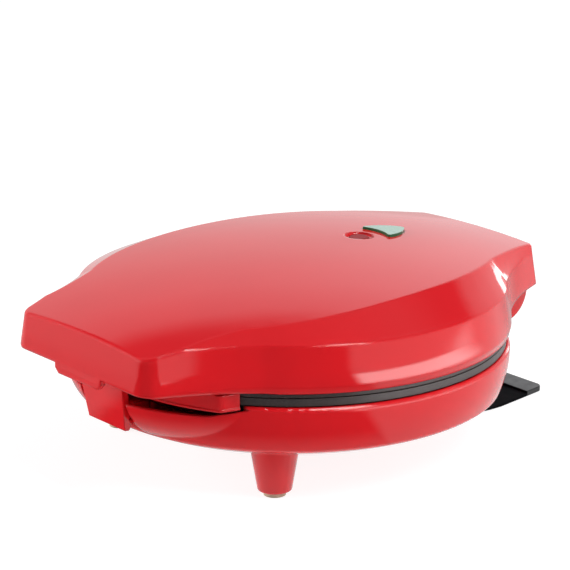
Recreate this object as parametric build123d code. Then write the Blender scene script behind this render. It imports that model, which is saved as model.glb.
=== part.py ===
from build123d import *
import os
from math import cos, radians, sin, sqrt

# Closed sandwich maker standing on its feet. Sizes in millimetres, +Z up, the latch side looks along -Y.
# Working frame: Z = 0 is the gap between the two plates and the origin is the middle of the plates.

# Plates
PLATE_R = 110.0
PAN_R = 98.0
PAN_WALL = 3.0
PAN_DEPTH = 8.0
PAN_FLOOR = 3.0
UPPER_FLANGE = 2.0
UPPER_STEP_R = 107.0
UPPER_STEP = 5.0
LOWER_FLANGE = 4.0
GAP = 0.5
RIB_PITCH = 9.0
RIB_TALL = 2.5
RIB_FOOT = 4.4
RIB_CREST = 2.0
POST_R = 4.5
POST_CIRCLE = 84.0
POST_ANGLES = (30.0, 150.0, 270.0)

# Heating elements and the trays that hold them
ELEMENT_R = 3.3
ELEMENT_CIRCLE = 66.0
ELEMENT_TURN = 326.0
ELEMENT_PIN_R = 1.4
ELEMENT_PIN = 10.0
TRAY_R = 97.0
TRAY_FLOOR_R = 91.0
TRAY_TOP = 11.6
TRAY_FLOOR = 18.2
SHEET = 0.8

# Red plastic shells
WALL = 2.5
SEAT_CLEAR = 0.3
DRUM_R = 112.4
EAVE_LOW = 2.6
EAVE_FULL = 6.0
EAVE_TUCK = 0.8
NOSE_EAVE = 5.0
NOSE_EAVE_Y = -76.0
BROW = 25.5
DRAFT = 3.0
PANEL_Z = 37.4
OVERHANG = 21.5
NOSE_HALF = 53.9
TAIL_HALF = 46.0
SHOULDER_ANGLE = 44.0
REAR_SHOULDER_ANGLE = 41.7
FLANK_HOLLOW = 2.9
NOSE_CORNER_R = 11.0
TAIL_CORNER_R = 8.5
SHOULDER_BLEND_R = 27.0
TAIL_EAVE = 9.4
CREASE_R = 2.0

# Top panel of the lid, as it would meet the level PANEL_Z
PANEL_NOSE_HALF = 27.0
PANEL_NOSE_BACK = 4.1
PANEL_SHOULDER = (31.4, 16.4)
PANEL_BEAM_BACK = 31.9
PANEL_BEAM_Y = 12.0
PANEL_REAR_SHOULDER = (35.7, 10.9)
PANEL_TAIL_BACK = 8.6
DOME_R = 649.0
DOME_TOP = 41.7
DOME_Y = 16.5

# Front tab and apron under the lid
TAB_TOP_HALF = 19.0
TAB_LOW_HALF = 16.2
TAB_LOW = 0.1
APRON_LOW = -5.9
APRON_WALL = 2.0
APRON_FRONT = 2.6
APRON_BEAD = 0.7

# Lid liner
DECK_LOW = 5.3
DECK = 2.5
DECK_HOLE_R = 101.8
LINER_SCREW_CIRCLE = 104.6
LINER_SCREW_ANGLES = (0.0, 45.0, 135.0, 180.0, 240.0, 300.0)
LID_SCREW_NOSE = (38.0, 11.9)
LID_POST_R = 4.0
LID_POST_HOLE = 9.0
LID_SCREW_REAR = (46.4, 107.5)
LEDGE_Z = 10.0
LEDGE_HALF = 4.4

# Lamps and their lenses
POWER_Y = 45.5
RECESS_R = 7.5
RECESS_DEEP = 1.2
RECESS_DROP = 0.7
LENS_EDGE_R = 0.6
LAMP_GAP = 0.8
LENS_R = 5.15
LENS_FIT = 0.15
READY_HALF = 10.8
READY_FRONT = 56.5
READY_TAIL = 76.0
READY_PROUD = 1.3
LAMP_R = 2.3
LAMP_LONG = 14.0
LAMP_Z = 33.3

# Base bowl, and the smaller bowl that reaches forward as its nose: (radius, height) down the outer skin
RIM = -4.6
RIM_ROUND = 1.8
BAND_LOW = -8.0
BOWL_R = 111.9
BOWL_SIDE = (110.8, -18.3)
BOWL_TURN = (107.6, -28.2)
BOWL_FLOOR_R = 99.7
NOSE_BACK = 12.4
NOSE_R = 87.7
NOSE_SIDE = (83.8, -18.7)
NOSE_TURN = (70.0, -29.8)
NOSE_FLOOR_R = 66.0
TURN_ROUND = 3.0
BOWL_LOW = -31.9
DIP_LOW = -9.9
DIP_HALF_LOW = 57.0
DIP_HALF_TOP = 78.0
DIP_Y = -86.0
NOTCH_CLEAR = 0.8
CATCH_WIDER = 0.6
CATCH_BACK = 19.8
CATCH_REAR = 105.0
CATCH_LOW = -15.0

# Feet and stand; the floor is at FLOOR
FLOOR = -56.0
FOOT = 63.8
FOOT_TOP_R = 12.5
FOOT_LOW_R = 8.5
PAD_TALL = 2.7
FOOT_WALL = 2.2
FOOT_ROUND = 0.8
PAD_R = 5.5
PAD_SPIGOT_R = 2.4
PAD_SPIGOT = 3.0
STAND_CLEAR = 0.9
STAND_THICK = 1.5
STAND_LIP = 1.2
STAND_LIP_Y = 130.5
STAND_FRONT = 79.0
STAND_HALF = 45.0
STAND_STRAIGHT = 108.0
STAND_MID = (41.8, 130.0)
STAND_REAR = (39.6, 144.65)
STAND_FRONT_R = 22.0
STAND_REAR_R = 4.5
NECK_HALF = 24.0
NECK_FRONT = 82.0
NECK_REAR = 99.0
NECK_CORNER_R = 5.0
STAND_SCREW = (14.0, 90.5)
STAND_PAD = (30.0, 128.0)
STAND_PAD_R = 4.8
STAND_PAD_SEAT = 0.9
STAND_EDGE = 0.5

# Hinge
HINGE_Y = 114.0
HINGE_Z = 6.0
TROUGH_R = 16.8
TROUGH_RISE = 4.0
TROUGH_HALF = 39.0
EAR_IN = 34.0
EAR_R = 8.0
LUG_IN = 27.0
LUG_OUT = 33.0
LUG_R = 7.0
PIN_R = 2.5
RUN_FIT = 0.06
HINGE_KEEP = 42.0

# Latch
LATCH_BACK = 10.9
LATCH_Z = 7.0
LATCH_HALF_TOP = 17.0
LATCH_HALF_LOW = 14.8
LATCH_EYE_R = 4.2
LATCH_PIN_R = 1.5
LATCH_SLOT_CLEAR = 0.9
LATCH_EAR = 2.6
LATCH_EAR_HALF = 4.0
LATCH_SLOT_GAP = 0.6
LATCH_BEND_Z = -5.0
LATCH_LOW_Z = -26.0

# Side outline of the latch: (distance behind the front line, height)
LATCH_SIDE = (
    (12.5, 5.5),
    (13.9, -5.0),
    (15.1, -14.9),
    (16.7, -25.0),
    (19.1, -25.3),
    (22.4, -19.8),
    (22.0, -17.7),
    (19.5, -20.4),
    (18.9, -17.3),
    (18.2, -10.9),
    (17.7, -6.7),
    (15.3, 6.5),
)

# Parts inside the base
BASE_BOSS_R = 5.5
SCREW_R = 1.4
SCREW_HEAD_R = 2.9
SCREW_HEAD = 2.0
SCREW_CLEAR = 0.3
SCREW_WELL = 6.0
LINER_HOLE_CLEAR = 0.15
GLAND_Z = -22.0
GLAND_FACE = 112.0
GLAND_R = 5.0
GLAND_BORE_R = 3.4
GLAND_FLANGE_R = 6.5
GLAND_FLANGE = 2.0
GLAND_SEAT_R = 8.0
GLAND_INNER = 94.0
GLAND_SEAT_INNER = 96.0
THERMOSTAT = (26.0, -18.0)
THERMOSTAT_R = 9.0
FUSE_Y = 34.0
BLOCK_Y = 58.0
BLOCK_SIZE = (34.0, 16.0, 9.0)

UP = (Align.CENTER, Align.CENTER, Align.MIN)
CORNER = (Align.MIN, Align.MIN, Align.MIN)
FRONT_LINE = -(DRUM_R + OVERHANG)
REAR_LINE = DRUM_R + OVERHANG
PANEL_CORNER_R = WALL + 0.5
BOWL_FLOOR = BOWL_LOW + WALL
PROUD = 2.0
NOSE_Y = FRONT_LINE + NOSE_BACK + NOSE_R
LID_SCREW_FRONT = (LID_SCREW_NOSE[0], -FRONT_LINE - LID_SCREW_NOSE[1])
FOOT_LOW = FLOOR + PAD_TALL
LATCH_Y = FRONT_LINE + LATCH_BACK
LATCH_SLOT_HALF = LATCH_HALF_TOP + LATCH_SLOT_CLEAR
LATCH_PIN_HALF = LATCH_SLOT_HALF + LATCH_EAR
NOTCH_HALF = LATCH_SLOT_HALF + NOTCH_CLEAR
CATCH_HALF = LATCH_HALF_TOP + CATCH_WIDER
CATCH_FRONT = -FRONT_LINE - CATCH_BACK


# Small shapes

def disc(radius, low, high, x=0.0, y=0.0):
    return Pos(x, y, low) * Cylinder(radius, high - low, align=UP)


def cone(low_radius, high_radius, low, high, x=0.0, y=0.0):
    return Pos(x, y, low) * Cone(low_radius, high_radius, high - low, align=UP)


def block(x_low, x_high, y_low, y_high, low, high):
    size = (x_high - x_low, y_high - y_low, high - low)
    return Pos(x_low, y_low, low) * Box(*size, align=CORNER)


def rod_x(radius, x_low, x_high, y, z):
    return Pos(x_low, y, z) * Rot(0, 90, 0) * Cylinder(radius, x_high - x_low, align=UP)


def rod_y(radius, y_low, y_high, x, z):
    return Pos(x, y_low, z) * Rot(-90, 0, 0) * Cylinder(radius, y_high - y_low, align=UP)


def sheet_x(points, half):
    """Plate of a (Y, Z) outline, reaching half to each side of the middle."""
    face = make_face(Polyline(*[(0.0, y, z) for y, z in points], close=True))
    return extrude(face, half, dir=(1, 0, 0), both=True)


def sheet_y(points, y_low, y_high):
    """Plate of an (X, Z) outline between two Y values."""
    face = make_face(Polyline(*[(x, y_low, z) for x, z in points], close=True))
    return extrude(face, y_high - y_low, dir=(0, 1, 0))


def turned(points):
    """Body turned about Z from an (R, Z) outline."""
    face = make_face(Polyline(*[(r, 0.0, z) for r, z in points], close=True))
    return revolve(face, Axis.Z)


def both_sides(shape):
    return shape + mirror(shape, Plane.YZ)


def polar(radius, angle):
    return radius * cos(radians(angle)), radius * sin(radians(angle))


def shrunk(face, amount):
    """Outline of tangent lines and arcs moved in by amount, or out when amount is negative."""
    if amount == 0:
        return face
    edges = face.outer_wire().order_edges()
    corners = [edge @ 0 for edge in edges]
    turns = sum(a.X * b.Y - a.Y * b.X for a, b in zip(corners, corners[1:] + corners[:1]))
    side = amount if turns > 0 else -amount

    def moved(edge, at):
        point = edge @ at
        along = edge % at
        return point.X - side * along.Y, point.Y + side * along.X

    starts = [moved(edge, 0) for edge in edges]
    ends = starts[1:] + starts[:1]
    moved_edges = []
    for edge, start, end in zip(edges, starts, ends):
        straight = edge.geom_type == GeomType.LINE
        moved_edges.append(Line(start, end) if straight else ThreePointArc(start, moved(edge, 0.5), end))
    return Face(Wire(moved_edges))


def screw_down(x, y, seat, tip):
    """Pan head screw with its head above seat and its shank down to tip."""
    return disc(SCREW_R, tip, seat, x, y) + disc(SCREW_HEAD_R, seat, seat + SCREW_HEAD, x, y)


def screw_up(x, y, seat, tip):
    """Pan head screw with its head below seat and its shank up to tip."""
    return disc(SCREW_R, seat, tip, x, y) + disc(SCREW_HEAD_R, seat - SCREW_HEAD, seat, x, y)


# Plan outlines of the lid

def hollow_side(start, end, depth):
    """Arc between two points, hollow towards the middle of the lid."""
    middle = ((start[0] + end[0]) / 2, (start[1] + end[1]) / 2)
    run = (end[0] - start[0], end[1] - start[1])
    length = sqrt(run[0] ** 2 + run[1] ** 2)
    sign = 1.0 if start[0] > 0 else -1.0
    inward = (-sign * abs(run[1]) / length, sign * (run[0] if run[1] > 0 else -run[0]) / length)
    via = (middle[0] + inward[0] * depth, middle[1] + inward[1] * depth)
    return ThreePointArc(start, via, end)


def lid_plan(nose, shoulder, beam, rear_shoulder, tail, hollow, radii):
    """Closed plan: straight nose, hollow flanks, round sides and straight tail, the same on both sides."""
    right = [nose, shoulder, rear_shoulder, tail]
    left = [(-x, y) for x, y in right]
    edges = [
        Line(left[0], nose),
        hollow_side(nose, shoulder, hollow) if hollow else Line(nose, shoulder),
        ThreePointArc(shoulder, beam, rear_shoulder),
        hollow_side(rear_shoulder, tail, hollow) if hollow else Line(rear_shoulder, tail),
        Line(tail, left[3]),
        hollow_side(left[3], left[2], hollow) if hollow else Line(left[3], left[2]),
        ThreePointArc(left[2], (-beam[0], beam[1]), left[1]),
        hollow_side(left[1], left[0], hollow) if hollow else Line(left[1], left[0]),
    ]
    face = Face(Wire(edges))
    for (x, y), radius in zip(right, radii):
        for side in (1, -1):
            corner = face.vertices().sort_by_distance((side * x, y, 0))[0]
            face = face.fillet_2d(radius, [corner])
    return face


def from_front(angle, radius):
    return radius * sin(radians(angle)), -radius * cos(radians(angle))


def from_rear(angle, radius):
    return radius * sin(radians(angle)), radius * cos(radians(angle))


def eave_plan():
    return lid_plan(
        (NOSE_HALF, FRONT_LINE),
        from_front(SHOULDER_ANGLE, DRUM_R),
        (DRUM_R, 0.0),
        from_rear(REAR_SHOULDER_ANGLE, DRUM_R),
        (TAIL_HALF, REAR_LINE),
        FLANK_HOLLOW,
        (NOSE_CORNER_R, SHOULDER_BLEND_R, SHOULDER_BLEND_R, TAIL_CORNER_R),
    )


def panel_plan():
    return lid_plan(
        (PANEL_NOSE_HALF, FRONT_LINE + PANEL_NOSE_BACK),
        from_front(PANEL_SHOULDER[0], DRUM_R - PANEL_SHOULDER[1]),
        (DRUM_R - PANEL_BEAM_BACK, PANEL_BEAM_Y),
        from_rear(PANEL_REAR_SHOULDER[0], DRUM_R - PANEL_REAR_SHOULDER[1]),
        (TAIL_HALF - PANEL_TAIL_BACK, REAR_LINE),
        0.0,
        (PANEL_CORNER_R, SHOULDER_BLEND_R, SHOULDER_BLEND_R, PANEL_CORNER_R),
    )


def side_plan(z, wall):
    """Plan of the side wall at level z, moved in by wall: the wall leans in by DRAFT up to the brow."""
    lean = DRAFT * (z - EAVE_FULL) / (BROW - EAVE_FULL)
    return Pos(0, 0, z) * shrunk(eave_plan(), wall + lean)


def dome(lift=0.0):
    """Everything under the domed top skin, moved out by lift."""
    return Pos(0, DOME_Y, DOME_TOP - DOME_R) * Rot(90, 0, 0) * Sphere(DOME_R + lift)


def lid_form(wall, low):
    """Body inside the lid's outer skin, moved in by wall, from the level low up to the dome."""
    panel = shrunk(panel_plan(), wall)
    drum = loft([side_plan(low, wall), side_plan(BROW, wall)], ruled=True)
    brow = loft([side_plan(BROW, wall), Pos(0, 0, PANEL_Z) * panel], ruled=True)
    top = Pos(0, 0, PANEL_Z) * extrude(panel, DOME_TOP + 1 - PANEL_Z)
    return (drum + brow + top) & dome(-wall)


# Lid

def lid_cover():
    outer = lid_form(0.0, EAVE_FULL)
    crown = outer.faces().filter_by(GeomType.SPHERE)[0]
    outer = fillet(crown.edges(), CREASE_R)
    right_half = outer & block(0, DRUM_R + 1, FRONT_LINE - 1, REAR_LINE + 1, EAVE_LOW, DOME_TOP + 1)
    outer = both_sides(right_half)
    tuck = shrunk(eave_plan(), EAVE_TUCK)
    outer += loft([Pos(0, 0, EAVE_LOW) * tuck, Pos(0, 0, EAVE_FULL) * eave_plan()], ruled=True)
    shell = outer - lid_form(WALL, EAVE_LOW - 1.0)
    tail_cut = block(-DRUM_R, DRUM_R, 70, REAR_LINE + 5, EAVE_LOW - 1, TAIL_EAVE)
    shell -= tail_cut - disc(DRUM_R + SEAT_CLEAR, EAVE_LOW - 2, TAIL_EAVE + 1)
    rise = [
        (NOSE_EAVE_Y, EAVE_LOW),
        (FRONT_LINE - 1, NOSE_EAVE),
        (FRONT_LINE - 1, EAVE_LOW - 2),
        (NOSE_EAVE_Y, EAVE_LOW - 2),
    ]
    shell -= sheet_x(rise, DRUM_R)
    tab = [
        (-TAB_LOW_HALF, TAB_LOW),
        (TAB_LOW_HALF, TAB_LOW),
        (TAB_TOP_HALF, EAVE_LOW),
        (TAB_TOP_HALF, EAVE_FULL),
        (-TAB_TOP_HALF, EAVE_FULL),
        (-TAB_TOP_HALF, EAVE_LOW),
    ]
    shell += sheet_y(tab, FRONT_LINE, FRONT_LINE + WALL)
    posts = cover_posts()
    shell += posts
    shell -= cover_post_holes()
    shell -= disc(RECESS_R, DOME_TOP - RECESS_DROP - RECESS_DEEP, DOME_TOP + 1, 0, POWER_Y)
    shell -= disc(LENS_R + LENS_FIT, LAMP_Z, DOME_TOP, 0, POWER_Y)
    shell -= extrude(Pos(0, 0, LAMP_Z) * ready_plan(LENS_FIT), DOME_TOP)
    return shell


def cover_posts():
    inside = lid_form(WALL - 0.5, EAVE_LOW)
    front = disc(LID_POST_R, DECK_LOW + DECK, PANEL_Z, LID_SCREW_FRONT[0], -LID_SCREW_FRONT[1])
    rear = disc(LID_POST_R, LEDGE_Z + DECK, PANEL_Z, *LID_SCREW_REAR)
    return both_sides((front + rear) & inside)


def cover_post_holes():
    front = disc(SCREW_R, DECK_LOW, DECK_LOW + DECK + LID_POST_HOLE, LID_SCREW_FRONT[0], -LID_SCREW_FRONT[1])
    rear = disc(SCREW_R, LEDGE_Z, LEDGE_Z + DECK + LID_POST_HOLE, *LID_SCREW_REAR)
    return both_sides(front + rear)


def ready_plan(grow):
    """Leaf outline of the ready lens: hollow front edge round the power lamp, two bowed sides."""
    half = READY_HALF
    edges = [
        ThreePointArc((-half, READY_FRONT), (0, READY_FRONT + 3), (half, READY_FRONT)),
        ThreePointArc((half, READY_FRONT), (half * 0.72, READY_FRONT + 12), (1.2, READY_TAIL)),
        Line((1.2, READY_TAIL), (-1.2, READY_TAIL)),
        ThreePointArc((-1.2, READY_TAIL), (-half * 0.72, READY_FRONT + 12), (-half, READY_FRONT)),
    ]
    face = Face(Wire(edges))
    face = face.fillet_2d(0.9, face.vertices())
    return shrunk(face, -grow)


def lid_liner():
    deck_top = DECK_LOW + DECK
    inner = Pos(0, 0, -deck_top) * side_plan(deck_top, WALL + SEAT_CLEAR)
    deck = extrude(Pos(0, 0, DECK_LOW) * inner, DECK)
    outside_drum = block(-DRUM_R, DRUM_R, 60, REAR_LINE, DECK_LOW - 1, deck_top + 1)
    outside_drum -= disc(DRUM_R - WALL - 3 * SEAT_CLEAR, DECK_LOW - 2, deck_top + 2)
    deck -= outside_drum
    deck -= disc(DECK_HOLE_R, DECK_LOW - 1, deck_top + 1)
    deck -= block(-HINGE_KEEP, HINGE_KEEP, HINGE_Y - EAR_R - 0.6, REAR_LINE, DECK_LOW - 1, deck_top + 1)
    under_eave = block(-DRUM_R, DRUM_R, FRONT_LINE, 0, APRON_LOW, EAVE_LOW - SEAT_CLEAR)
    skirt = apron()
    liner = deck + (skirt & under_eave) + hinge_lugs() + rear_ledges() + latch_ears()
    liner += skirt & extrude(Pos(0, 0, EAVE_LOW - 1) * inner, DECK_LOW)
    liner -= rod_x(LATCH_PIN_R, -LATCH_PIN_HALF - 1, LATCH_PIN_HALF + 1, LATCH_Y, LATCH_Z)
    slot_front = LATCH_Y - LATCH_EYE_R - LATCH_SLOT_GAP
    slot_rear = LATCH_SLOT_GAP - CATCH_FRONT
    liner -= block(-LATCH_SLOT_HALF, LATCH_SLOT_HALF, slot_front, slot_rear, DECK_LOW - 1, deck_top + 1)
    for angle in LINER_SCREW_ANGLES:
        x, y = polar(LINER_SCREW_CIRCLE, angle)
        liner -= disc(SCREW_R + LINER_HOLE_CLEAR, DECK_LOW - 1, deck_top + 1, x, y)
    front_x, front_y = LID_SCREW_FRONT
    liner -= both_sides(disc(SCREW_R + SCREW_CLEAR, DECK_LOW - 1, deck_top + 1, front_x, -front_y))
    liner -= both_sides(disc(SCREW_R + SCREW_CLEAR, LEDGE_Z - 1, LEDGE_Z + DECK + 1, *LID_SCREW_REAR))
    return liner


def apron():
    """Skirt that hangs from the deck in front of both plates, with a thin bead along its lower edge."""
    front = -(PLATE_R + APRON_FRONT)
    side = (0.6 * PLATE_R, front + 14.3)
    end = (side[0] + 2.4, side[1] + 9.5)
    middle = (0.418 * PLATE_R, front + 5.0)
    edges = [
        Line((-25, front), (25, front)),
        ThreePointArc((25, front), middle, side),
        Line(side, end),
        Line(end, (end[0], -60)),
        Line((end[0], -60), (-end[0], -60)),
        Line((-end[0], -60), (-end[0], end[1])),
        Line((-end[0], end[1]), (-side[0], side[1])),
        ThreePointArc((-side[0], side[1]), (-middle[0], middle[1]), (-25, front)),
    ]
    outer = Face(Wire(edges))
    for sign in (1, -1):
        corner = outer.vertices().sort_by_distance((sign * side[0], side[1], 0))[0]
        outer = outer.fillet_2d(4.0, [corner])
    inner = shrunk(outer, APRON_WALL)
    skirt = extrude(Pos(0, 0, APRON_LOW) * outer, DECK_LOW + 0.5 - APRON_LOW)
    skirt += extrude(Pos(0, 0, APRON_LOW) * shrunk(outer, -APRON_BEAD / 2), APRON_BEAD * 1.6)
    skirt -= extrude(Pos(0, 0, APRON_LOW - 1) * inner, DECK_LOW + 3 - APRON_LOW)
    return skirt & block(-PLATE_R, PLATE_R, -DRUM_R - OVERHANG, end[1], APRON_LOW, DECK_LOW + 0.5)


def hinge_lugs():
    foot = block(LUG_IN, LUG_OUT, HINGE_Y - 15, HINGE_Y, DECK_LOW + 0.3, HINGE_Z + LUG_R)
    lug = foot + rod_x(LUG_R, LUG_IN, LUG_OUT, HINGE_Y, HINGE_Z)
    lug -= rod_x(PIN_R + RUN_FIT, LUG_IN - 1, LUG_OUT + 1, HINGE_Y, HINGE_Z)
    return both_sides(lug)


def rear_ledges():
    """Two ledges in the tail that carry the rear lid screws, each on a riser from the deck."""
    x_low = LID_SCREW_REAR[0] - LEDGE_HALF
    x_high = LID_SCREW_REAR[0] + LEDGE_HALF
    front = sqrt((DECK_HOLE_R + SEAT_CLEAR) ** 2 - x_low ** 2)
    ledge = block(x_low, x_high, front, LID_SCREW_REAR[1] + LEDGE_HALF, LEDGE_Z, LEDGE_Z + DECK)
    riser = block(x_low, x_high, front, front + WALL, DECK_LOW, LEDGE_Z + DECK)
    return both_sides(ledge + riser)


def latch_ears():
    front = LATCH_Y - LATCH_EAR_HALF
    rear = LATCH_Y + LATCH_EAR_HALF
    ear = block(LATCH_SLOT_HALF, LATCH_PIN_HALF, front, rear, DECK_LOW, LATCH_Z + LATCH_EAR_HALF)
    return both_sides(ear)


# Plates, elements and trays, made for the upper side and turned over for the lower one

def plate(flange, step_r, step):
    body = disc(PLATE_R, GAP / 2, flange)
    if step > flange:
        body += disc(step_r, flange, step)
    body += disc(PAN_R + PAN_WALL, GAP / 2, PAN_DEPTH + PAN_FLOOR)
    body = fillet(body.edges().filter_by(GeomType.CIRCLE).group_by(Axis.Z)[-1], 2.0)
    body -= cone(PAN_R, PAN_R - 1.2, GAP / 2 - 0.01, PAN_DEPTH)
    half = PAN_R - 1.0
    crest = PAN_DEPTH - RIB_TALL
    section = [
        (-RIB_FOOT / 2, PAN_DEPTH),
        (-RIB_CREST / 2, crest),
        (RIB_CREST / 2, crest),
        (RIB_FOOT / 2, PAN_DEPTH),
    ]
    rib = sheet_x(section, half)
    count = int((half - RIB_FOOT) // RIB_PITCH)
    ribs = rib
    for i in range(1, count + 1):
        ribs += Pos(0, i * RIB_PITCH, 0) * rib
        ribs += Pos(0, -i * RIB_PITCH, 0) * rib
    body += ribs & disc(half, crest - 1, PAN_DEPTH + 0.5)
    for angle in POST_ANGLES:
        x, y = polar(POST_CIRCLE, angle)
        body += disc(POST_R, PAN_DEPTH + PAN_FLOOR - 0.5, TRAY_FLOOR, x, y)
        body -= disc(SCREW_R, PAN_DEPTH + PAN_FLOOR, TRAY_FLOOR + 1, x, y)
    return body


def element():
    height = PAN_DEPTH + PAN_FLOOR + 0.1 + ELEMENT_R
    start = 90 + (360 - ELEMENT_TURN) / 2
    section = Plane.XZ * Pos(ELEMENT_CIRCLE, height) * Circle(ELEMENT_R)
    ring = Rot(0, 0, start) * revolve(section, Axis.Z, ELEMENT_TURN)
    pin = Pos(ELEMENT_CIRCLE, 0, height) * Rot(90, 0, 0) * Cylinder(ELEMENT_PIN_R, ELEMENT_PIN, align=UP)
    far_place = Pos(ELEMENT_CIRCLE, 0, height)
    far_pin = far_place * Rot(-90, 0, 0) * Cylinder(ELEMENT_PIN_R, ELEMENT_PIN, align=UP)
    return ring + Rot(0, 0, start) * pin + Rot(0, 0, start + ELEMENT_TURN) * far_pin


def tray():
    low = TRAY_TOP
    floor = TRAY_FLOOR
    shape = turned([
        (0, floor),
        (TRAY_FLOOR_R, floor),
        (TRAY_R - 2, low),
        (TRAY_R + 2, low),
        (TRAY_R + 2, low + SHEET),
        (TRAY_R - 1, low + SHEET),
        (TRAY_FLOOR_R + 1, floor + SHEET),
        (0, floor + SHEET),
    ])
    for angle in POST_ANGLES:
        x, y = polar(POST_CIRCLE, angle)
        shape -= disc(SCREW_R + SCREW_CLEAR, floor - 1, floor + 2, x, y)
    return shape


def turned_over(shape):
    return mirror(shape, Plane.XY)


def liner_screws():
    group = None
    for angle in LINER_SCREW_ANGLES:
        x, y = polar(LINER_SCREW_CIRCLE, angle)
        screw = screw_down(x, y, DECK_LOW + DECK, GAP / 2 + 1.2)
        group = screw if group is None else group + screw
    return group


def upper_plate():
    body = plate(UPPER_FLANGE, UPPER_STEP_R, UPPER_STEP)
    for angle in LINER_SCREW_ANGLES:
        x, y = polar(LINER_SCREW_CIRCLE, angle)
        body -= disc(SCREW_R, GAP / 2 + 1, UPPER_STEP + 1, x, y)
    return body


def post_screws(seat, tip):
    group = None
    for angle in POST_ANGLES:
        x, y = polar(POST_CIRCLE, angle)
        screw = screw_down(x, y, seat, tip)
        group = screw if group is None else group + screw
    return group


# Base

def bowl_form(radius, side, turn, floor_r, wall):
    """Round body inside a bowl's outer skin, moved in by wall, from its upright band to its flat floor."""
    top = RIM + (PROUD if wall else 0.0)
    low = BOWL_LOW + wall
    turn_low = turn[1] + wall / 2
    edges = [
        Line((0, low), (floor_r - wall, low)),
        Line((floor_r - wall, low), (turn[0] - wall, turn_low)),
        ThreePointArc((turn[0] - wall, turn_low), (side[0] - wall, side[1]), (radius - wall, BAND_LOW)),
        Line((radius - wall, BAND_LOW), (radius - wall, top)),
        Line((radius - wall, top), (0, top)),
        Line((0, top), (0, low)),
    ]
    face = Face(Wire(edges))
    corner = face.vertices().sort_by_distance((turn[0] - wall, turn_low, 0))[0]
    face = face.fillet_2d(TURN_ROUND - wall / 2, [corner])
    if wall == 0:
        rim = face.vertices().sort_by_distance((radius, top, 0))[0]
        face = face.fillet_2d(RIM_ROUND, [rim])
    return revolve(Rot(90, 0, 0) * face, Axis.Z)


def notch_box(grow):
    half = NOTCH_HALF + grow
    return block(-half, half, FRONT_LINE, -PLATE_R * 0.6, BOWL_LOW - 1, RIM + 3)


def base_cover():
    round_out = bowl_form(BOWL_R, BOWL_SIDE, BOWL_TURN, BOWL_FLOOR_R, 0.0)
    round_in = bowl_form(BOWL_R, BOWL_SIDE, BOWL_TURN, BOWL_FLOOR_R, WALL)
    nose_out = Pos(0, NOSE_Y, 0) * bowl_form(NOSE_R, NOSE_SIDE, NOSE_TURN, NOSE_FLOOR_R, 0.0)
    nose_in = Pos(0, NOSE_Y, 0) * bowl_form(NOSE_R, NOSE_SIDE, NOSE_TURN, NOSE_FLOOR_R, WALL)
    outer = round_out + (nose_out - notch_box(0.0))
    inner = round_in + (nose_in - notch_box(WALL))
    shell = outer - inner
    catch = block(-CATCH_HALF, CATCH_HALF, -CATCH_FRONT, -CATCH_REAR, CATCH_LOW, DIP_LOW)
    shell += catch - round_in
    dip = [
        (-DIP_HALF_TOP, RIM),
        (-DIP_HALF_LOW, DIP_LOW),
        (DIP_HALF_LOW, DIP_LOW),
        (DIP_HALF_TOP, RIM),
        (DIP_HALF_TOP, 5.0),
        (-DIP_HALF_TOP, 5.0),
    ]
    shell -= sheet_y(dip, FRONT_LINE, DIP_Y)
    shell += hinge_housing() - round_in
    shell += feet() - round_in
    shell += base_bosses()
    shell -= base_boss_holes()
    seat = rod_y(GLAND_SEAT_R, GLAND_SEAT_INNER, GLAND_FACE, 0, GLAND_Z)
    shell += seat
    shell -= rod_y(GLAND_R, GLAND_INNER - 4, GLAND_FACE + 10, 0, GLAND_Z)
    for x in (-STAND_SCREW[0], STAND_SCREW[0]):
        shell -= disc(SCREW_R + SCREW_CLEAR, BOWL_LOW - 1, BOWL_FLOOR + 1, x, STAND_SCREW[1])
    return shell


def hinge_housing():
    floor_low = HINGE_Z - TROUGH_R
    inner_r = TROUGH_R - WALL
    full = rod_x(TROUGH_R, -TROUGH_HALF, TROUGH_HALF, HINGE_Y, HINGE_Z)
    hollow = rod_x(inner_r, -TROUGH_HALF + WALL, TROUGH_HALF - WALL, HINGE_Y, HINGE_Z)
    top = HINGE_Z + TROUGH_R * sin(radians(TROUGH_RISE))
    quarter = block(-TROUGH_HALF, TROUGH_HALF, HINGE_Y, HINGE_Y + TROUGH_R + 1, floor_low, top)
    trough = (full & quarter) - hollow
    trough += block(-TROUGH_HALF, TROUGH_HALF, HINGE_Y - 12, HINGE_Y, floor_low, floor_low + WALL)
    end = block(TROUGH_HALF - WALL, TROUGH_HALF, HINGE_Y - 12, HINGE_Y, floor_low, RIM - 0.5)
    ear = rod_x(EAR_R, EAR_IN, TROUGH_HALF, HINGE_Y, HINGE_Z)
    ear += block(EAR_IN, TROUGH_HALF, HINGE_Y - 5.5, HINGE_Y + 5.5, floor_low + 1, HINGE_Z)
    trough += both_sides(end + ear)
    trough -= both_sides(rod_x(PIN_R, EAR_IN - 1, TROUGH_HALF + 1, HINGE_Y, HINGE_Z))
    return trough


def feet():
    foot = cone(FOOT_LOW_R, FOOT_TOP_R, FOOT_LOW, BOWL_FLOOR, FOOT, -FOOT)
    foot = fillet(foot.edges().group_by(Axis.Z)[0], FOOT_ROUND)
    hollow_low = FOOT_LOW + PAD_SPIGOT
    hollow = cone(FOOT_LOW_R - FOOT_WALL, FOOT_TOP_R - FOOT_WALL, hollow_low, BOWL_FLOOR, FOOT, -FOOT)
    foot -= hollow
    foot -= disc(PAD_SPIGOT_R, FOOT_LOW - 1, FOOT_LOW + PAD_SPIGOT + 1, FOOT, -FOOT)
    return both_sides(foot)


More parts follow.
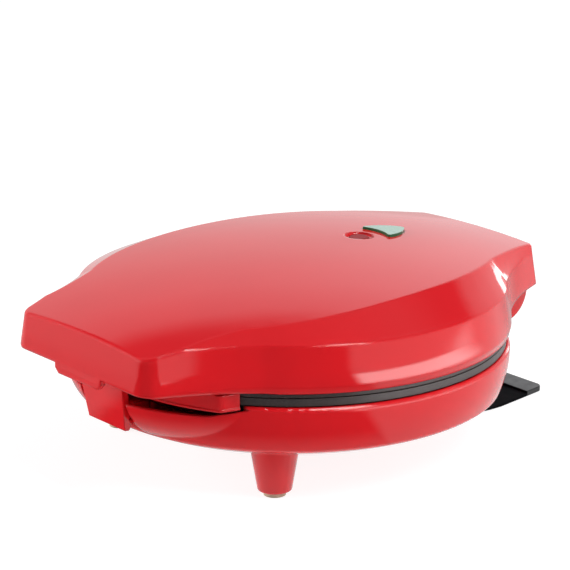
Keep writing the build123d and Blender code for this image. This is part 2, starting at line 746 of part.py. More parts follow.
def base_bosses():
    group = None
    for angle in POST_ANGLES:
        x, y = polar(POST_CIRCLE, angle)
        boss = disc(BASE_BOSS_R, BOWL_FLOOR - 0.5, -TRAY_FLOOR - SHEET, x, y)
        group = boss if group is None else group + boss
    return group


def base_boss_holes():
    group = None
    for angle in POST_ANGLES:
        x, y = polar(POST_CIRCLE, angle)
        hole = disc(SCREW_R + SCREW_CLEAR, BOWL_LOW - 1, -TRAY_FLOOR, x, y)
        hole += disc(SCREW_HEAD_R + SCREW_CLEAR, BOWL_LOW - 1, BOWL_LOW + SCREW_WELL, x, y)
        group = hole if group is None else group + hole
    return group


def base_screws():
    group = None
    for angle in POST_ANGLES:
        x, y = polar(POST_CIRCLE, angle)
        screw = screw_up(x, y, BOWL_LOW + SCREW_WELL, -PAN_DEPTH - PAN_FLOOR - 1)
        group = screw if group is None else group + screw
    return group


def foot_pad():
    pad = disc(PAD_R, FLOOR, FOOT_LOW, FOOT, -FOOT)
    return pad + disc(PAD_SPIGOT_R, FOOT_LOW, FOOT_LOW + PAD_SPIGOT, FOOT, -FOOT)


def rear_stand():
    low = FLOOR + STAND_CLEAR
    top = low + STAND_THICK
    right = [
        (STAND_HALF, STAND_FRONT),
        (STAND_HALF, STAND_STRAIGHT),
        STAND_MID,
        STAND_REAR,
    ]
    left = [(-x, y) for x, y in reversed(right)]
    face = make_face(Polyline(*(right + left), close=True)).face()
    for (x, y), radius in ((right[0], STAND_FRONT_R), (right[3], STAND_REAR_R)):
        for sign in (1, -1):
            corner = face.vertices().sort_by_distance((sign * x, y, 0))[0]
            face = face.fillet_2d(radius, [corner])
    stand = extrude(Pos(0, 0, low) * face, STAND_THICK + STAND_LIP)
    stand -= block(-STAND_HALF, STAND_HALF, STAND_FRONT - 1, STAND_LIP_Y, top, top + 5)
    stand = fillet(stand.edges().group_by(Axis.Z)[-1], STAND_EDGE)
    neck = block(-NECK_HALF, NECK_HALF, NECK_FRONT, NECK_REAR, low, BOWL_LOW)
    neck = fillet(neck.edges().filter_by(Axis.Z), NECK_CORNER_R)
    half = NECK_HALF - WALL
    inside = block(-half, half, NECK_FRONT + WALL, NECK_REAR - WALL, low - 1, BOWL_LOW - WALL)
    stand += neck
    stand -= inside
    for x in (-STAND_SCREW[0], STAND_SCREW[0]):
        stand -= disc(SCREW_R + SCREW_CLEAR, BOWL_LOW - WALL - 1, BOWL_LOW + 1, x, STAND_SCREW[1])
    for x in (-STAND_PAD[0], STAND_PAD[0]):
        stand -= disc(PAD_SPIGOT_R, low - 1, low + STAND_PAD_SEAT, x, STAND_PAD[1])
    return stand


def stand_pads():
    top = FLOOR + STAND_CLEAR
    x, y = STAND_PAD
    pad = disc(STAND_PAD_R, FLOOR, top, x, y) + disc(PAD_SPIGOT_R, top, top + STAND_PAD_SEAT, x, y)
    return both_sides(pad)


def stand_screws():
    x, y = STAND_SCREW
    return both_sides(screw_down(x, y, BOWL_FLOOR, BOWL_LOW - WALL - 2))


def cord_gland():
    gland = rod_y(GLAND_R, GLAND_INNER, GLAND_FACE, 0, GLAND_Z)
    gland += rod_y(GLAND_FLANGE_R, GLAND_FACE, GLAND_FACE + GLAND_FLANGE, 0, GLAND_Z)
    gland -= rod_y(GLAND_BORE_R, GLAND_INNER - 4, GLAND_FACE + 5, 0, GLAND_Z)
    return gland


# Hinge and latch

def hinge_pin():
    return rod_x(PIN_R, LUG_IN - 0.5, TROUGH_HALF, HINGE_Y, HINGE_Z)


def latch_pin():
    return rod_x(LATCH_PIN_R, -LATCH_PIN_HALF, LATCH_PIN_HALF, LATCH_Y, LATCH_Z)


def latch():
    body = sheet_x([(FRONT_LINE + y, z) for y, z in LATCH_SIDE], LATCH_HALF_TOP)
    body += rod_x(LATCH_EYE_R, -LATCH_HALF_TOP, LATCH_HALF_TOP, LATCH_Y, LATCH_Z)
    taper = [
        (-LATCH_HALF_TOP, LATCH_Z + LATCH_EYE_R + 1),
        (-LATCH_HALF_TOP, LATCH_BEND_Z),
        (-LATCH_HALF_LOW, LATCH_LOW_Z),
        (LATCH_HALF_LOW, LATCH_LOW_Z),
        (LATCH_HALF_TOP, LATCH_BEND_Z),
        (LATCH_HALF_TOP, LATCH_Z + LATCH_EYE_R + 1),
    ]
    body = body & sheet_y(taper, FRONT_LINE, -80)
    return body - rod_x(LATCH_PIN_R + RUN_FIT, -LATCH_PIN_HALF, LATCH_PIN_HALF, LATCH_Y, LATCH_Z)


# Lamps

def power_lens():
    lens = disc(LENS_R, LAMP_Z + LAMP_R + LAMP_GAP, DOME_TOP - RECESS_DEEP, 0, POWER_Y)
    return fillet(lens.edges().group_by(Axis.Z)[-1], LENS_EDGE_R)


def ready_lens():
    body = extrude(Pos(0, 0, LAMP_Z + LAMP_R + 0.5) * ready_plan(0.0), 12)
    return body & dome(READY_PROUD)


def lamp_holder():
    floor = LAMP_Z - LAMP_R - 2.3
    base = block(-9, 9, POWER_Y - 9, READY_TAIL + 4, floor, floor + 2)
    ends = block(-9, 9, POWER_Y - 9, POWER_Y - 7, floor, DOME_TOP)
    ends += block(-9, 9, READY_TAIL + 2, READY_TAIL + 4, floor, DOME_TOP)
    holder = (base + ends) & dome(-WALL - 0.05)
    for y in (POWER_Y, READY_FRONT + 9):
        for x in (-5.5, 4.0):
            clip = block(x, x + 1.5, y - 3.5, y + 3.5, floor + 1, LAMP_Z + 0.5)
            holder += clip - rod_x(LAMP_R, -9, 9, y, LAMP_Z)
    return holder


def lamp(y):
    tube = rod_x(LAMP_R, -LAMP_LONG / 2, LAMP_LONG / 2, y, LAMP_Z)
    return fillet(tube.edges(), 1.0)


# Parts in the base

def thermostat():
    x, y = THERMOSTAT
    top = -TRAY_FLOOR - SHEET
    body = disc(THERMOSTAT_R, top - 5, top, x, y)
    body += disc(THERMOSTAT_R - 2.5, top - 8, top - 5, x, y)
    for side in (-1, 1):
        blade_x = x + side * 5
        body += block(blade_x - 0.4, blade_x + 0.4, y - 3, y + 3, top - 10, top - 7.5)
    return body


def thermal_fuse():
    z = BOWL_FLOOR + 2.2
    body = rod_x(2.2, -7, 7, FUSE_Y, z)
    body += rod_x(0.6, -14, 14, FUSE_Y, z)
    return body


def terminal_block():
    long, deep, tall = BLOCK_SIZE
    body = block(-long / 2, long / 2, BLOCK_Y - deep / 2, BLOCK_Y + deep / 2, BOWL_FLOOR, BOWL_FLOOR + tall)
    for x in (-long / 3, 0, long / 3):
        body -= rod_y(2.2, BLOCK_Y - deep, BLOCK_Y + deep, x, BOWL_FLOOR + tall / 2)
        body -= disc(2.0, BOWL_FLOOR + tall / 2, BOWL_FLOOR + tall + 1, x, BLOCK_Y)
    return body


def terminal_screws():
    long, deep, tall = BLOCK_SIZE
    group = None
    for x in (-long / 3, 0, long / 3):
        screw = disc(1.9, BOWL_FLOOR + tall / 2, BOWL_FLOOR + tall - 0.6, x, BLOCK_Y)
        group = screw if group is None else group + screw
    return group


def lid_screws():
    front_x, front_y = LID_SCREW_FRONT
    front = screw_up(front_x, -front_y, DECK_LOW, DECK_LOW + DECK + 7)
    rear = screw_up(LID_SCREW_REAR[0], LID_SCREW_REAR[1], LEDGE_Z, LEDGE_Z + DECK + 7)
    return both_sides(front + rear)


NODES = {
    "base_cover": base_cover,
    "lower_plate": lambda: turned_over(plate(LOWER_FLANGE, PLATE_R, 0.0)),
    "lower_heater": lambda: turned_over(element()),
    "lower_reflector": lambda: turned_over(tray()),
    "base_screws": base_screws,
    "thermostat": thermostat,
    "thermal_fuse": thermal_fuse,
    "terminal_block": terminal_block,
    "terminal_screws": terminal_screws,
    "cord_gland": cord_gland,
    "rear_stand": rear_stand,
    "stand_screws": stand_screws,
    "stand_pads": stand_pads,
    "foot_pad_left": lambda: mirror(foot_pad(), Plane.YZ),
    "foot_pad_right": foot_pad,
    "hinge_pin_left": lambda: mirror(hinge_pin(), Plane.YZ),
    "hinge_pin_right": hinge_pin,
    "lid_cover": lid_cover,
    "lid_liner": lid_liner,
    "lid_screws": lid_screws,
    "liner_screws": liner_screws,
    "upper_plate": upper_plate,
    "upper_heater": element,
    "upper_reflector": tray,
    "reflector_screws": lambda: post_screws(TRAY_FLOOR + SHEET, PAN_DEPTH + PAN_FLOOR + 1),
    "power_lens": power_lens,
    "ready_lens": ready_lens,
    "lamp_holder": lamp_holder,
    "power_lamp": lambda: lamp(POWER_Y),
    "ready_lamp": lambda: lamp(READY_FRONT + 9),
    "latch_pin": latch_pin,
    "latch": latch,
}


def main():
    os.makedirs("parts", exist_ok=True)
    to_frame = Pos(0, -(FRONT_LINE + STAND_REAR[1]) / 2, -FLOOR)
    for name, make in NODES.items():
        export_step(to_frame * make(), f"parts/{name}.step")


main()
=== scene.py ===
import bpy
import bmesh
from math import radians, cos, sin
from mathutils import Matrix, Vector

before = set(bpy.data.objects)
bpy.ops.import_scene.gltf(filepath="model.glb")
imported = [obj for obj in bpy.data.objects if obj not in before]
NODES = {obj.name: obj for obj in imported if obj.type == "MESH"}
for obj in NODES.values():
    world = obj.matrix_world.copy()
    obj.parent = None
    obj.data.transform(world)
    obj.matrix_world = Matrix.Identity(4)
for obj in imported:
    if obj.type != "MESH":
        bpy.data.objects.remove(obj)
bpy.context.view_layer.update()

MM = 0.001

# Camera: its eye, how far round from the front it stands, and how high above the table it looks
# from
EYE = Vector((0.9392, -0.7887, 0.4467))
AZIMUTH = radians(50.33)
ELEVATION = radians(16.74)
LENS_MM = 157.9
SENSOR_MM = 36.0
NEAREST = 0.05
FARTHEST = 60.0

# Bow at the foot of the lid's side wall: its lowest and highest level, and its depth
CROWN_LOW_MM = 59.0
CROWN_TOP_MM = 70.0
CROWN_DEPTH_MM = 1.0

# Rear stand: forward of a line it is matt with a trace of shine, painted shade of the bowl that
# reads black, then satin; other satin plastic has its line in front of the whole object
STAND_SHADE_MATT_TO_MM = 125.3
FRONT_OF_ALL_MM = -1000.0
MATT_FADE_MM = 0.5
MATT_SHINE = 0.05

# Refractive index of each clear or pale material
ABS_IOR = 1.53
RUBBER_IOR = 1.45
COATING_IOR = 1.45
NYLON_IOR = 1.5
POLYCARBONATE_IOR = 1.585
GLASS_IOR = 1.47

# Stretch of a metal's fine marks along the axis that they run in
ALONG_X = (0.08, 1.0, 1.0)
ALONG_Y = (1.0, 0.08, 1.0)
NO_GRAIN = (1.0, 1.0, 1.0)

# Floor, in metres from the object's middle; gloss pieces mirror light painted on it: painted
# light near the object, a painted pool of light, and a dim level of painted shade on the dark side
FLOOR_HALF = 12.0
NEAR_TABLE = (0.1, 0.16)
POOL_STARTS = (0.28, 0.34)
POOL_ENDS = (0.62, 0.78)
POOL_POWER = 5.0
POOL_SIDE = (0.99, 0.05, 0.0)
POOL_SPREAD = (0.5, 0.85)
FLOOR_IN_PAINTED_SHADE = 0.1
FLOOR_GLOW = 0.88

# Dark side of the room: the middle of its sector, and the cosines between which it fades out
DARK_MIDDLE = radians(28.5)
DARK_EDGE = (0.6, 0.68)

# Painted light and shade across the floor as a gloss surface mirrors it:
# (share of the way, level, blue)
MIRRORED_FLOOR = (
    (0.25, 0.78, 0.78),
    (0.43, 0.5, 0.5),
    (0.49, 0.55, 0.55),
    (0.53, 1.0, 1.0),
)

# Wall from eye level to overhead: (sine of the height above the table, level, blue)
SWEEP = (
    (0.3, 1.0, 1.0),
    (0.46, 0.88, 0.89),
    (0.55, 0.66, 0.67),
    (0.595, 0.1, 0.11),
    (0.66, 0.12, 0.13),
    (0.76, 0.3, 0.31),
    (1.0, 0.28, 0.29),
)

# Wall across the room: (share of the way, level, blue)
PATCHES = (
    (0.09, 0.62, 0.62),
    (0.14, 0.76, 0.77),
    (0.19, 1.0, 1.02),
    (0.3, 0.82, 0.83),
    (0.42, 0.68, 0.68),
    (1.0, 0.76, 0.76),
)
ROOM_IN_DARK = 0.22
ROOM_MIRRORED = 1.25
ROOM_ON_MATT = 0.92

BLACK = (0.0, 0.0, 0.0, 1.0)
WHITE = (1.0, 1.0, 1.0, 1.0)

back = Vector((sin(AZIMUTH) * cos(ELEVATION), -cos(AZIMUTH) * cos(ELEVATION), sin(ELEVATION)))
right = Vector((cos(AZIMUTH), sin(AZIMUTH), 0.0))
up = back.cross(right)
camera_data = bpy.data.cameras.new("camera")
camera_data.lens = LENS_MM
camera_data.sensor_width = SENSOR_MM
camera_data.clip_start = NEAREST
camera_data.clip_end = FARTHEST
camera = bpy.data.objects.new("camera", camera_data)
camera.matrix_world = Matrix((
    (right.x, up.x, back.x, EYE.x),
    (right.y, up.y, back.y, EYE.y),
    (right.z, up.z, back.z, EYE.z),
    (0, 0, 0, 1),
))
bpy.context.scene.collection.objects.link(camera)
bpy.context.scene.camera = camera
bpy.context.scene.view_settings.view_transform = "Standard"


def linear(code):
    """Linear colour of an sRGB hex value."""
    parts = [int(code[i:i + 2], 16) / 255 for i in (1, 3, 5)]
    parts = [c / 12.92 if c <= 0.04045 else ((c + 0.055) / 1.055) ** 2.4 for c in parts]
    return (*parts, 1.0)


def greys(rows):
    """Ramp stops from rows of (position, level, blue)."""
    return [(position, (level, level, blue, 1.0)) for position, level, blue in rows]


def add(tree, kind, inputs=None, stops=None, **settings):
    """Adds a node with its settings and links.

    An input is a number, a colour, or a (node, output) link, by socket name or number. The stops of
    a colour ramp are (position, colour) pairs.
    """
    node = tree.nodes.new("ShaderNode" + kind)
    for key, value in settings.items():
        setattr(node, key, value)
    for key, value in (inputs or {}).items():
        if isinstance(value, tuple) and isinstance(value[0], bpy.types.Node):
            tree.links.new(value[0].outputs[value[1]], node.inputs[key])
        else:
            node.inputs[key].default_value = value
    if stops:
        points = node.color_ramp.elements
        points[0].position, points[0].color = stops[0]
        points[1].position, points[1].color = stops[-1]
        for position, colour in stops[1:-1]:
            points.new(position).color = colour
    return node


def new_material(name):
    """An empty material, its nodes, and the object's own coordinates in them."""
    material = bpy.data.materials.new(name)
    material.use_nodes = True
    tree = material.node_tree
    tree.nodes.clear()
    return material, tree, (add(tree, "TexCoord"), "Object")


def spread(tree, place, size_mm, low, high, detail=2.0):
    """A soft random value from low to high, with blotches of about size_mm."""
    cloud = add(tree, "TexNoise", {"Vector": place, "Scale": 1 / (size_mm * MM), "Detail": detail})
    level = add(tree, "MapRange", {
        "Value": (cloud, "Fac"), "From Min": 0.3, "From Max": 0.7, "To Min": low, "To Max": high})
    return level, "Result"


def blotches(tree, place, size_mm, first, second, detail=2.0):
    """Colour that wanders between two tones, with blotches of about size_mm."""
    cloud = spread(tree, place, size_mm, 0.0, 1.0, detail)
    stops = [(0.0, linear(first)), (1.0, linear(second))]
    return add(tree, "ValToRGB", {"Fac": cloud}, stops=stops), "Color"


def texture(tree, place, size_mm, depth_mm, detail, normal=None):
    """Relief of bumps about size_mm across and depth_mm deep, laid over an earlier normal."""
    bumps = add(tree, "TexNoise", {"Vector": place, "Scale": 1 / (size_mm * MM), "Detail": detail})
    inputs = {"Height": (bumps, "Fac"), "Strength": 1.0, "Distance": depth_mm * MM}
    if normal:
        inputs["Normal"] = normal
    return add(tree, "Bump", inputs), "Normal"


def finish(material, tree, **inputs):
    """Closes a material with one principled shader."""
    inputs = {key.replace("_", " "): value for key, value in inputs.items()}
    shader = add(tree, "BsdfPrincipled", inputs)
    add(tree, "OutputMaterial", {"Surface": (shader, "BSDF")})
    return material


def wall_crown(tree, place):
    """Height that bows the foot of the lid's side wall: 0 at its eave, 1 where the bow runs out."""
    level = add(tree, "SeparateXYZ", {0: place}), "Z"
    run = add(tree, "MapRange", {
        "Value": level, "From Min": CROWN_LOW_MM * MM, "From Max": CROWN_TOP_MM * MM}), "Result"
    rest = add(tree, "Math", {0: 1.0, 1: run}, operation="SUBTRACT"), "Value"
    square = add(tree, "Math", {0: rest, 1: rest}, operation="MULTIPLY"), "Value"
    return add(tree, "Math", {0: 1.0, 1: square}, operation="SUBTRACT"), "Value"


def gloss_abs(name, colour, shade, edge_mm, rough):
    """Gloss moulded ABS: an even deep red under a clear skin that mirrors the room in soft bands.

    The skin has a polished tool's long waves and faint orange peel, and its sharp moulded edges
    round over, which gives the eye the fine bright lines along the creases and rims.
    """
    material, tree, place = new_material(name)
    tone = blotches(tree, place, size_mm=60.0, first=shade, second=colour)
    gloss = spread(tree, place, size_mm=9.0, low=rough * 0.85, high=rough * 1.15)
    soft_edge = add(tree, "Bevel", {"Radius": edge_mm * MM}, samples=6), "Normal"
    crown = add(tree, "Bump", {
        "Height": wall_crown(tree, place), "Strength": 1.0, "Distance": CROWN_DEPTH_MM * MM,
        "Normal": soft_edge}), "Normal"
    waves = texture(tree, place, size_mm=38.0, depth_mm=0.05, detail=1.0, normal=crown)
    peel = texture(tree, place, size_mm=1.6, depth_mm=0.0012, detail=1.0, normal=waves)
    return finish(material, tree, Base_Color=tone, Roughness=gloss, Normal=peel, IOR=ABS_IOR)


def satin_abs(name, colour, worn, rough, grain_mm, shade_matt_to_mm=FRONT_OF_ALL_MM):
    """Black moulded plastic: spark-eroded grain breaks its shine into a soft grey sheen.

    Forward of shade_matt_to_mm it turns matt with a trace of shine: painted shade that stays
    black from every side. The real grain is too fine to show, so it is drawn several times as
    coarse.
    """
    material, tree, place = new_material(name)
    tone = blotches(tree, place, size_mm=12.0, first=colour, second=worn)
    gloss = spread(tree, place, size_mm=4.0, low=rough * 0.85, high=rough * 1.15)
    soft_edge = add(tree, "Bevel", {"Radius": 0.5 * MM}, samples=4), "Normal"
    grain = texture(tree, place, grain_mm, depth_mm=0.012, detail=3.0, normal=soft_edge)
    # Painted shade: matt diffuse forward of the line, satin behind it
    depth = add(tree, "SeparateXYZ", {0: place}), "Y"
    shine = add(tree, "MapRange", {
        "Value": depth, "From Min": shade_matt_to_mm * MM, "From Max": (shade_matt_to_mm + MATT_FADE_MM) * MM,
        "To Min": MATT_SHINE, "To Max": 1.0}), "Result"
    satin = add(tree, "BsdfPrincipled", {
        "Base Color": tone, "Roughness": gloss, "Normal": grain, "IOR": ABS_IOR})
    # Matt diffuse body that paints the shade black
    coarse = add(tree, "BsdfDiffuse", {"Color": tone, "Roughness": 0.6})
    both = add(tree, "MixShader", {0: shine, 1: (coarse, 0), 2: (satin, 0)})
    add(tree, "OutputMaterial", {"Surface": (both, 0)})
    return material


def rubber(name, colour, shade):
    """Moulded rubber: dull all over, with a trace of dust that sets it off from the plastic.

    Its pores are drawn coarser than real ones, so that they show.
    """
    material, tree, place = new_material(name)
    tone = blotches(tree, place, size_mm=3.0, first=shade, second=colour, detail=4.0)
    gloss = spread(tree, place, size_mm=2.0, low=0.62, high=0.8)
    pores = texture(tree, place, size_mm=0.4, depth_mm=0.02, detail=2.0)
    return finish(material, tree, Base_Color=tone, Roughness=gloss, Normal=pores, IOR=RUBBER_IOR)


def non_stick():
    """Non-stick coating on cast aluminium: dark brown grey with fine pale specks and a silky shine.

    The specks and the casting's skin are drawn coarser than real ones, so that they show.
    """
    material, tree, place = new_material("non-stick coated casting")
    speck = add(tree, "TexVoronoi", {"Vector": place, "Scale": 1 / (0.9 * MM)}), "Distance"
    dots = add(tree, "ValToRGB", {"Fac": speck}, stops=[
        (0.0, linear("#77706D")),
        (0.16, linear("#5A5453")),
        (0.2, linear("#4A4444")),
        (1.0, linear("#443E3E")),
    ]), "Color"
    cloud = spread(tree, place, size_mm=15.0, low=0.0, high=1.0)
    tone = add(tree, "Mix", {0: cloud, 6: dots, 7: linear("#4E4847")}, data_type="RGBA"), 2
    gloss = spread(tree, place, size_mm=5.0, low=0.3, high=0.4)
    soft_edge = add(tree, "Bevel", {"Radius": 0.6 * MM}, samples=4), "Normal"
    coat = texture(tree, place, size_mm=0.7, depth_mm=0.02, detail=3.0, normal=soft_edge)
    return finish(material, tree, Base_Color=tone, Roughness=gloss, Normal=coat, IOR=COATING_IOR,
                  Metallic=0.15)


def metal(name, colour, tint, rough, streak, blotch_mm=3.0):
    """Bare or plated metal: streak stretches its fine marks along one axis, as rolling does.

    The marks are drawn coarser than real ones, so that they show.
    """
    material, tree, place = new_material(name)
    tone = blotches(tree, place, blotch_mm, first=tint, second=colour, detail=4.0)
    laid = add(tree, "Mapping", {"Vector": place, "Scale": streak}), "Vector"
    marks = add(tree, "TexNoise", {"Vector": laid, "Scale": 1 / (0.5 * MM), "Detail": 3.0}), "Fac"
    gloss = add(tree, "MapRange", {
        "Value": marks, "To Min": rough * 0.7, "To Max": rough * 1.4}), "Result"
    skin = add(tree, "Bump", {"Height": marks, "Strength": 1.0, "Distance": 0.006 * MM}), "Normal"
    return finish(material, tree, Base_Color=tone, Metallic=1.0, Roughness=gloss, Normal=skin)


def moulded(name, colour, shade, rough):
    """Unpainted technical plastic or ceramic: a pale dull body, a little uneven in tone.

    Its pores are drawn coarser than real ones, so that they show.
    """
    material, tree, place = new_material(name)
    tone = blotches(tree, place, size_mm=2.5, first=shade, second=colour, detail=4.0)
    gloss = spread(tree, place, size_mm=3.0, low=rough * 0.9, high=rough * 1.1)
    pores = texture(tree, place, size_mm=0.3, depth_mm=0.015, detail=2.0)
    return finish(material, tree, Base_Color=tone, Roughness=gloss, Normal=pores, IOR=NYLON_IOR,
                  Subsurface_Weight=0.05, Subsurface_Scale=0.5 * MM)


def lens(name, face, edge, deep, clear, shine, facet_mm):
    """Tinted polycarbonate lens: painted light on facets and top, painted shade on its sides."""
    material, tree, place = new_material(name)
    facets = add(tree, "TexVoronoi", {"Vector": place, "Scale": 1 / (facet_mm * MM)}), "Distance"
    # Painted light through the facets: each facet paler in its middle, deeper at its rim
    inside = add(tree, "ValToRGB", {"Fac": facets}, stops=[
        (0.0, linear(face)),
        (0.9, linear(deep)),
    ]), "Color"
    # Painted light and shade: upward faces take the paler facet colours, the sides the deeper edge
    # colour
    turn = add(tree, "SeparateXYZ", {0: (place[0], "Normal")}), "Z"
    lit_top = add(tree, "MapRange", {"Value": turn, "From Min": 0.6, "From Max": 0.95}), "Result"
    tone = add(tree, "Mix", {0: lit_top, 6: linear(edge), 7: inside}, data_type="RGBA"), 2
    gloss = spread(tree, place, size_mm=3.0, low=0.05, high=0.1)
    dimples = add(tree, "Bump", {
        "Height": facets, "Strength": 1.0, "Distance": 0.02 * MM}), "Normal"
    skin = add(tree, "BsdfPrincipled", {
        "Base Color": tone, "Roughness": gloss, "IOR": POLYCARBONATE_IOR,
        "Transmission Weight": clear, "Normal": dimples})
    depth = add(tree, "BsdfDiffuse", {"Color": tone})
    both = add(tree, "MixShader", {0: shine, 1: (depth, 0), 2: (skin, 0)})
    add(tree, "OutputMaterial", {"Surface": (both, 0)})
    return material


def neon_glass():
    """Clear lamp glass with a warm tint, so that the little bulb still reads behind its lens."""
    material, tree, place = new_material("neon lamp glass")
    tone = blotches(tree, place, size_mm=3.0, first="#F6E3D2", second="#FFF6EC")
    gloss = spread(tree, place, size_mm=2.0, low=0.02, high=0.06)
    return finish(material, tree, Base_Color=tone, Roughness=gloss, IOR=GLASS_IOR,
                  Transmission_Weight=0.8)


def dress(material, *names):
    """Gives pieces of the object a material."""
    for name in names:
        NODES[name].data.materials.clear()
        NODES[name].data.materials.append(material)


red_shell = gloss_abs("red gloss ABS shell", "#E21A22", shade="#DC1820", edge_mm=1.8, rough=0.07)
red_liner = gloss_abs("red gloss ABS liner", "#D81820", shade="#D0161E", edge_mm=0.8, rough=0.16)
red_latch = gloss_abs("red gloss ABS latch", "#E51C24", shade="#E01A22", edge_mm=0.8, rough=0.1)
dress(red_shell, "base_cover", "lid_cover")
dress(red_liner, "lid_liner")
dress(red_latch, "latch")

black_stand = satin_abs("black satin ABS stand", "#0E0E10", worn="#141518", rough=0.34,
                        grain_mm=0.5, shade_matt_to_mm=STAND_SHADE_MATT_TO_MM)
black_bushing = satin_abs("black nylon bushing", "#121213", worn="#191919", rough=0.45,
                          grain_mm=0.35)
dress(black_stand, "rear_stand")
dress(black_bushing, "cord_gland")

cream_pad = rubber("cream silicone foot pad", "#E2D8BC", shade="#D4C9AC")
dark_pad = rubber("dark rubber stand pad", "#2A2A2B", shade="#1F1F20")
dress(cream_pad, "foot_pad_left", "foot_pad_right")
dress(dark_pad, "stand_pads")

dress(non_stick(), "upper_plate", "lower_plate")

# Each lens's edge colour is painted shade on its sides
red_lens = lens("red polycarbonate lamp lens", face="#A8121C", edge="#7A0A12", deep="#8A0C14",
                clear=0.1, shine=0.3, facet_mm=1.1)
green_lens = lens("green polycarbonate lamp lens", face="#B0D2C2", edge="#1F6C48", deep="#98C2AE",
                  clear=0.1, shine=0.85, facet_mm=1.6)
dress(red_lens, "power_lens")
dress(green_lens, "ready_lens")
dress(neon_glass(), "power_lamp", "ready_lamp")

sheath = metal("heat tinted element sheath", "#6E665C", tint="#4C4640", rough=0.42,
               streak=NO_GRAIN, blotch_mm=7.0)
tray = metal("bright pressed tray sheet", "#C9CBCD", tint="#B9BBBE", rough=0.22,
             streak=ALONG_X, blotch_mm=20.0)
screw = metal("zinc plated screw steel", "#B4B7B6", tint="#9EA3A2", rough=0.3, streak=NO_GRAIN)
pin = metal("drawn pin steel", "#AEB0B2", tint="#9A9DA0", rough=0.24, streak=ALONG_X)
brass = metal("turned terminal brass", "#C8A050", tint="#B08A40", rough=0.3, streak=NO_GRAIN)
fuse_can = metal("tinned fuse can", "#C2C2BC", tint="#A9A9A3", rough=0.28, streak=ALONG_Y)
dress(sheath, "upper_heater", "lower_heater")
dress(tray, "upper_reflector", "lower_reflector")
dress(screw, "base_screws", "stand_screws", "lid_screws", "liner_screws", "reflector_screws")
dress(pin, "hinge_pin_left", "hinge_pin_right", "latch_pin")
dress(brass, "terminal_screws")
dress(fuse_can, "thermal_fuse")

block_nylon = moulded("off-white terminal nylon", "#DCD8C8", shade="#D0CBBA", rough=0.5)
steatite = moulded("steatite thermostat body", "#DDD6C8", shade="#CFC7B8", rough=0.6)
clip_nylon = moulded("natural nylon lamp clip", "#E4E2DA", shade="#D8D6CC", rough=0.42)
dress(block_nylon, "terminal_block")
dress(steatite, "thermostat")
dress(clip_nylon, "lamp_holder")

bm = bmesh.new()
bmesh.ops.create_grid(bm, x_segments=1, y_segments=1, size=FLOOR_HALF)
mesh = bpy.data.meshes.new("floor")
bm.to_mesh(mesh)
bm.free()
floor = bpy.data.objects.new("floor", mesh)
bpy.context.scene.collection.objects.link(floor)


def away_from_dark_side(tree, direction):
    """0 inside the dark sector of the room, and 1 outside it."""
    level = (1.0, 1.0, 0.0)
    flat = add(tree, "VectorMath", {0: direction, 1: level}, operation="MULTIPLY"), "Vector"
    unit = add(tree, "VectorMath", {0: flat}, operation="NORMALIZE"), "Vector"
    toward = (sin(DARK_MIDDLE), -cos(DARK_MIDDLE), 0.0)
    cosine = add(tree, "VectorMath", {0: unit, 1: toward}, operation="DOT_PRODUCT"), "Value"
    edge = add(tree, "MapRange", {
        "Value": cosine, "From Min": DARK_EDGE[0], "From Max": DARK_EDGE[1],
        "To Min": 1.0, "To Max": 0.0}, interpolation_type="SMOOTHSTEP")
    return edge, "Result"


def in_view(tree, path):
    """1 for what the camera sees, straight or through clear pieces, and 0 for other light."""
    straight = path, "Is Camera Ray"
    through = path, "Is Transmission Ray"
    return add(tree, "Math", {0: straight, 1: through}, operation="MAXIMUM"), "Value"


# Matt white table: it looks plain white, but gloss pieces mirror light painted on it: painted
# light near the object, a painted pool of light to its right, and painted shade on the dark side
# of the room
material, tree, place = new_material("white table")
path = add(tree, "LightPath")
distance = add(tree, "VectorMath", {0: place}, operation="LENGTH"), "Value"
# Painted light on the floor near the object, and painted shade on the dark side
near = add(tree, "MapRange", {
    "Value": distance, "From Min": NEAR_TABLE[0], "From Max": NEAR_TABLE[1],
    "To Min": 1.0, "To Max": 0.0}, interpolation_type="SMOOTHSTEP"), "Result"
lit_side = away_from_dark_side(tree, place)
painted_light_mask = add(tree, "Math", {0: near, 1: lit_side}, operation="MAXIMUM"), "Value"
mirrored = add(tree, "MapRange", {"Value": painted_light_mask, "To Min": FLOOR_IN_PAINTED_SHADE, "To Max": 1.0}), "Result"

# Painted pool of light to the right of the object
reach = add(tree, "MapRange", {"Value": distance, "From Min": 0.0, "From Max": 1.0}), "Result"
ring = add(tree, "ValToRGB", {"Fac": reach}, stops=[
    (POOL_STARTS[0], BLACK),
    (POOL_STARTS[1], WHITE),
    (POOL_ENDS[0], WHITE),
    (POOL_ENDS[1], BLACK),
]), "Color"
outward = add(tree, "VectorMath", {0: place}, operation="NORMALIZE"), "Vector"
rightward = add(tree, "VectorMath", {0: outward, 1: POOL_SIDE}, operation="DOT_PRODUCT"), "Value"
power = add(tree, "MapRange", {
    "Value": rightward, "From Min": POOL_SPREAD[0], "From Max": POOL_SPREAD[1],
    "To Min": 0.0, "To Max": POOL_POWER}, interpolation_type="SMOOTHSTEP"), "Result"
painted_pool = add(tree, "Math", {0: ring, 1: power}, operation="MULTIPLY"), "Value"
painted_pool = add(tree, "Math", {0: painted_pool, 1: lit_side}, operation="MULTIPLY"), "Value"

# Painted bands of light and shade across the floor
side = add(tree, "SeparateXYZ", {0: place}), "X"
across = add(tree, "MapRange", {"Value": side, "From Min": -1.0, "From Max": 1.0}), "Result"
strip = add(tree, "ValToRGB", {"Fac": across}, stops=greys(MIRRORED_FLOOR)), "Color"
mirrored = add(tree, "Math", {0: mirrored, 1: strip}, operation="MULTIPLY"), "Value"
mirrored = add(tree, "Math", {0: mirrored, 1: painted_pool}, operation="ADD"), "Value"

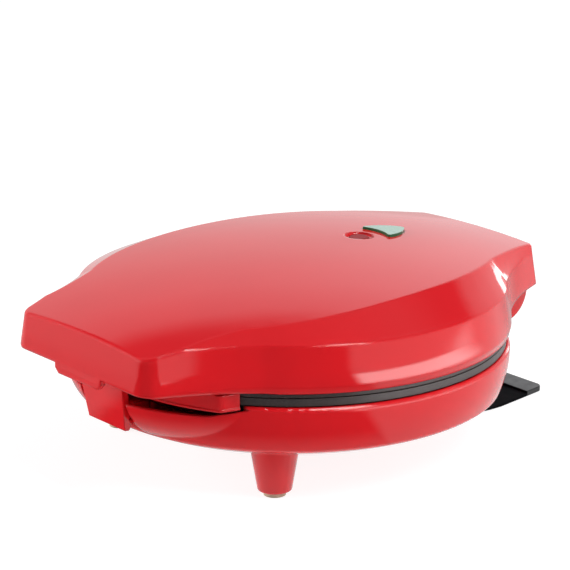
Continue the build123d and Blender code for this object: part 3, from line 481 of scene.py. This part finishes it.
matte = add(tree, "BsdfDiffuse", {"Color": linear("#F4F4F4")})
thin_matte = add(tree, "BsdfDiffuse", {"Color": linear("#9A9A9A")})
white_glow = add(tree, "Emission", {"Strength": FLOOR_GLOW})
painted_floor_glow = add(tree, "Emission", {"Strength": mirrored})
plain_white = add(tree, "AddShader", {0: (thin_matte, 0), 1: (white_glow, 0)})
painted_light_table = add(tree, "MixShader", {0: (path, "Is Glossy Ray"), 1: (matte, 0), 2: (painted_floor_glow, 0)})
table = add(tree, "MixShader", {0: in_view(tree, path), 1: (painted_light_table, 0), 2: (plain_white, 0)})
add(tree, "OutputMaterial", {"Surface": (table, 0)})
floor.data.materials.append(material)

# Room: a bright sweep up to about 35 degrees, a dim ceiling, and a dark side at the front right
world = bpy.data.worlds.new("room")
bpy.context.scene.world = world
world.use_nodes = True
tree = world.node_tree
tree.nodes.clear()
way = add(tree, "TexCoord"), "Generated"
parts = add(tree, "SeparateXYZ", {0: way})
sweep = add(tree, "ValToRGB", {"Fac": (parts, "Z")}, stops=greys(SWEEP)), "Color"
across = add(tree, "MapRange", {"Value": (parts, "X"), "From Min": -1.0, "From Max": 1.0}), "Result"
patches = add(tree, "ValToRGB", {"Fac": across}, stops=greys(PATCHES)), "Color"
wall = add(tree, "VectorMath", {0: sweep, 1: patches}, operation="MULTIPLY"), "Vector"
lit_side = add(tree, "MapRange", {
    "Value": away_from_dark_side(tree, way), "To Min": ROOM_IN_DARK, "To Max": 1.0}), "Result"
light = add(tree, "VectorMath", {0: wall, 3: lit_side}, operation="SCALE"), "Vector"
path = add(tree, "LightPath")
level = add(tree, "MapRange", {
    "Value": (path, "Is Diffuse Ray"), "To Min": ROOM_MIRRORED, "To Max": ROOM_ON_MATT}), "Result"
room = add(tree, "Background", {"Color": light, "Strength": level})
white = add(tree, "Background", {"Color": WHITE, "Strength": 1.0})
surroundings = add(tree, "MixShader", {0: in_view(tree, path), 1: (room, 0), 2: (white, 0)})
add(tree, "OutputWorld", {"Surface": (surroundings, 0)})


def softbox(name, place, size, power, mirrored=True, aim_height=0.05):
    """A rectangular lamp that faces the object's middle, its power in watts."""
    light = bpy.data.lights.new(name, "AREA")
    light.shape = "RECTANGLE"
    light.size, light.size_y = size
    light.energy = power
    lamp = bpy.data.objects.new(name, light)
    lamp.location = place
    toward = Vector((0, 0, aim_height)) - Vector(place)
    lamp.rotation_euler = toward.to_track_quat("-Z", "Y").to_euler()
    lamp.visible_glossy = mirrored
    bpy.context.scene.collection.objects.link(lamp)


softbox("strip over the right side", (0.85, 0.05, 1.45), size=(0.2, 1.1), power=16)
softbox("side box at the rear right", (1.25, 0.95, 0.9), size=(0.9, 0.9), power=7, mirrored=False)
softbox("fill from the front left", (-1.35, -1.0, 0.42), size=(0.9, 0.7), power=21, mirrored=False)
softbox("narrow strip low behind", (-0.35, 1.15, 0.14), size=(0.12, 0.4), power=0.65,
        aim_height=0.08)
